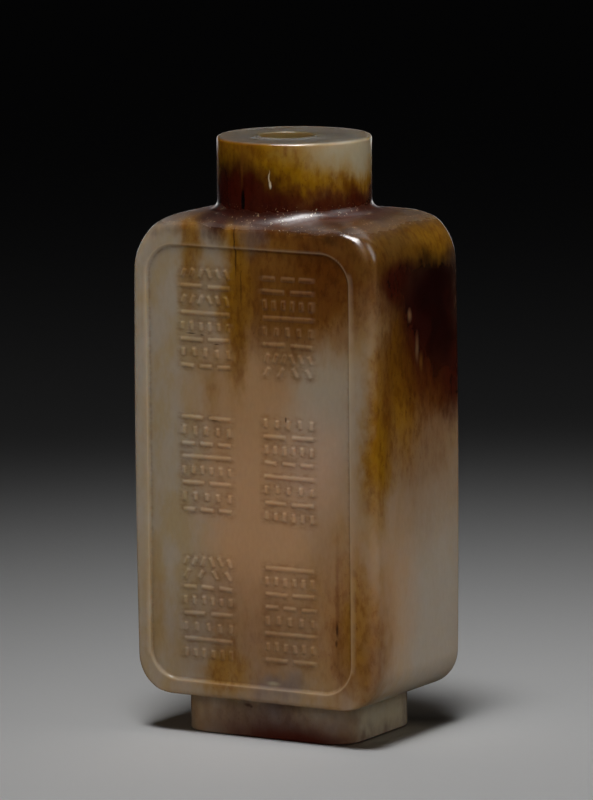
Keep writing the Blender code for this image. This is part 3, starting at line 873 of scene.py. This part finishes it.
def stone_material():
    shader = Shader("mottled jade")
    place = shader.add("TexCoord", {}).outputs["Object"]
    place = shader.scaled(place, (MILLIMETRES, MILLIMETRES, MILLIMETRES))

    colour = stone_colour(shader, place)

    # The hollows between the strokes and at the foot of the panel's step get a little brown, painted shade
    # with some dirt, and the edges get a paler line, a painted highlight
    hollow = shader.add("Attribute", {}, attribute_name=HOLLOWS).outputs["Fac"]
    shade_and_grime, _ = shader.noise(shader.scaled(place, (0.7, 0.7, 1.6)), detail=4.0, roughness=0.6)
    shade_and_grime = shader.maths("MULTIPLY", shader.ramp(shade_and_grime, 0.40, 0.66, 0.05, MOST_SHADE_AND_GRIME), hollow)
    colour = shader.mix(shade_and_grime, colour, BROWN)
    edge_amount = shader.add("Attribute", {}, attribute_name=EDGE_HIGHLIGHTS).outputs["Fac"]
    colour = shader.mix(shader.maths("MULTIPLY", edge_amount, MOST_EDGE_HIGHLIGHT), colour, WEAR_AND_HIGHLIGHT)

    # A hand polish: slightly wavy, with finer grain and a sheen that is not quite even
    waves, _ = shader.noise(shader.scaled(place, (0.5, 0.5, 0.35)), detail=2.0)
    grain, _ = shader.noise(shader.scaled(place, (6.0, 6.0, 2.0)), detail=3.0)
    waves = shader.maths("MULTIPLY", waves, 0.8)
    grain = shader.maths("MULTIPLY", grain, 0.08)
    relief = shader.maths("ADD", waves, grain)
    bump = shader.add("Bump", {"Height": relief, "Strength": 1.0, "Distance": 0.00003}).outputs[0]
    smears, _ = shader.noise(shader.scaled(place, (0.25, 0.25, 0.5)), detail=4.0)
    roughness = shader.ramp(smears, 0.3, 0.7, 0.16, 0.27)

    # The shoulders and the turn up into the neck took less polish
    height = shader.add("SeparateXYZ", {0: place}).outputs["Z"]
    dulled = shader.maths("MULTIPLY", shader.band(height, 54.6, 57.2, 0.8), 0.12)
    roughness = shader.maths("ADD", roughness, dulled)

    shader.set(
        shader.surface,
        {
            "Base Color": colour,
            "Roughness": roughness,
            "IOR": 1.6,
            "Subsurface Weight": 0.75,
            "Subsurface Radius": (1.0, 0.65, 0.4),
            "Subsurface Scale": 0.0016,
            "Normal": bump,
        },
    )
    return shader.material


def floor_material():
    shader = Shader("pale studio paper")
    place = shader.add("TexCoord", {}).outputs["Object"]
    grain, _ = shader.noise(shader.scaled(place, (900.0, 900.0, 900.0)))
    bump = shader.add("Bump", {"Height": grain, "Strength": 0.15, "Distance": 0.0003})
    shader.set(
        shader.surface,
        {"Base Color": (0.7, 0.7, 0.7, 1.0), "Roughness": 0.8, "Normal": bump.outputs[0]},
    )
    return shader.material


FLOOR_REACH = 3.0


def make_floor():
    data = bpy.data.meshes.new("studio_floor")
    corners = [(FLOOR_REACH * x, FLOOR_REACH * y, 0) for x, y in ((-1, -1), (1, -1), (1, 1), (-1, 1))]
    data.from_pydata(corners, [], [(0, 1, 2, 3)])
    data.materials.append(floor_material())
    floor = bpy.data.objects.new("studio_floor", data)
    bpy.context.scene.collection.objects.link(floor)
    floor.visible_glossy = False
    return floor


# The camera, fitted to the bottle's corners in the photograph
CAMERA_TARGET = Vector((0.0, 0.0, 0.0320))
CAMERA_AZIMUTH = math.radians(30.154)
CAMERA_ELEVATION = math.radians(9.183)
CAMERA_DISTANCE = 0.74508
CAMERA_PITCH = math.radians(0.265)
CAMERA_ROLL = math.radians(-0.499)
SENSOR = 36.0
FOCAL_PIXELS = 6968.7
PICTURE_HEIGHT = 800


def direction(azimuth, elevation):
    """From the bottle outwards. Azimuth 0 is the front, 90 degrees the right side."""
    across = math.cos(elevation)
    return Vector((math.sin(azimuth) * across, -math.cos(azimuth) * across, math.sin(elevation)))


def add_camera():
    data = bpy.data.cameras.new("camera")
    data.sensor_width = SENSOR
    data.sensor_fit = "AUTO"
    data.lens = SENSOR * FOCAL_PIXELS / PICTURE_HEIGHT
    data.clip_start = 0.01
    data.clip_end = 20.0
    camera = bpy.data.objects.new("camera", data)
    bpy.context.scene.collection.objects.link(camera)
    back = direction(CAMERA_AZIMUTH, CAMERA_ELEVATION)
    right = (-back).cross(Vector((0, 0, 1))).normalized()
    up = right.cross(-back)
    level_turn = Matrix((right, up, back)).transposed()
    tilt = Matrix.Rotation(CAMERA_PITCH, 3, "X")
    roll = Matrix.Rotation(CAMERA_ROLL, 3, "Z")
    turn = (level_turn @ tilt @ roll).to_4x4()
    camera.matrix_world = Matrix.Translation(CAMERA_TARGET + back * CAMERA_DISTANCE) @ turn
    bpy.context.scene.camera = camera


BOTTLE_MIDDLE = Vector((0.0, 0.0, 0.03))
LAMP_PLACE = Vector((0.08, -0.17, 0.56))
LAMP_RADIUS = 0.13


def soft_light(name, azimuth, elevation, distance, size, power):
    """A softbox turned to the bottle. Angles are in degrees and power is in watts."""
    data = bpy.data.lights.new(name, "AREA")
    data.shape = "RECTANGLE"
    data.size, data.size_y = size
    data.energy = power
    light = bpy.data.objects.new(name, data)
    bpy.context.scene.collection.objects.link(light)
    outwards = direction(math.radians(azimuth), math.radians(elevation))
    light.location = BOTTLE_MIDDLE + outwards * distance
    light.rotation_euler = outwards.to_track_quat("Z", "Y").to_euler()
    light.visible_camera = False
    return light


def overhead_spot(name, cone, power, target):
    """A round lamp above, with a soft cone of so many degrees aimed at a place on the floor."""
    data = bpy.data.lights.new(name, "SPOT")
    data.energy = power
    data.spot_size = math.radians(cone)
    data.spot_blend = 1.0
    data.shadow_soft_size = LAMP_RADIUS
    light = bpy.data.objects.new(name, data)
    bpy.context.scene.collection.objects.link(light)
    light.location = LAMP_PLACE
    light.rotation_euler = (Vector(target) - LAMP_PLACE).to_track_quat("-Z", "Y").to_euler()
    light.visible_camera = False
    return light


def shine_on(light, lit):
    """Keeps a light to one object. The others still throw their shadows in it."""
    group = bpy.data.collections.new("lit by " + light.name)
    group.objects.link(lit)
    light.light_linking.receiver_collection = group


def add_lights(stone, floor):
    # A pool of light on the floor round the bottle, and a dim wide one over the floor beyond it
    shine_on(overhead_spot("pool", 21.2, 16.5, (0.035, -0.017, 0.0)), floor)
    shine_on(overhead_spot("floor fill", 149.0, 0.81, (0.135, -0.383, 0.0)), floor)
    softboxes = [
        soft_light("overhead softbox", 27.0, 74.0, 0.55, (0.40, 0.20), 1.8),
        soft_light("right side", 112.0, 36.0, 0.6, (0.25, 0.30), 0.55),
        soft_light("behind", -150.0, 1.5, 0.45, (0.36, 0.06), 0.10),
        soft_light("back", 175.0, 55.0, 0.6, (0.35, 0.35), 0.35),
    ]
    # The photo shows no reflection of the light that reaches the front and the left side
    fills = [
        soft_light("front fill", 42.0, 24.0, 0.7, (0.40, 0.30), 1.75),
        soft_light("left side", -70.0, 26.0, 0.7, (0.40, 0.35), 1.15),
    ]
    for fill in fills:
        fill.visible_glossy = False
    # The white band round the neck's foot and the spot on the corner, which add little light elsewhere
    glint = soft_light("glint", 27.0, 72.0, 0.55, (0.40, 0.24), 3.4)
    corner_glint = soft_light("corner glint", 36.0, 57.0, 0.55, (0.10, 0.10), 1.3)
    glint.visible_diffuse = False
    corner_glint.visible_diffuse = False
    softboxes += [*fills, glint, corner_glint]
    for softbox in softboxes:
        shine_on(softbox, stone)
    world = bpy.data.worlds.new("dim studio")
    world.use_nodes = True
    backdrop = world.node_tree.nodes["Background"]
    backdrop.inputs["Color"].default_value = (0.0016, 0.0016, 0.0017, 1.0)
    bpy.context.scene.world = world


def main():
    stone = make_stone()
    stone.data.materials.append(stone_material())
    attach(stone, "root")
    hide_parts("bottle")
    floor = make_floor()
    add_lights(stone, floor)
    add_camera()
    bpy.context.scene.view_settings.view_transform = "Standard"


main()
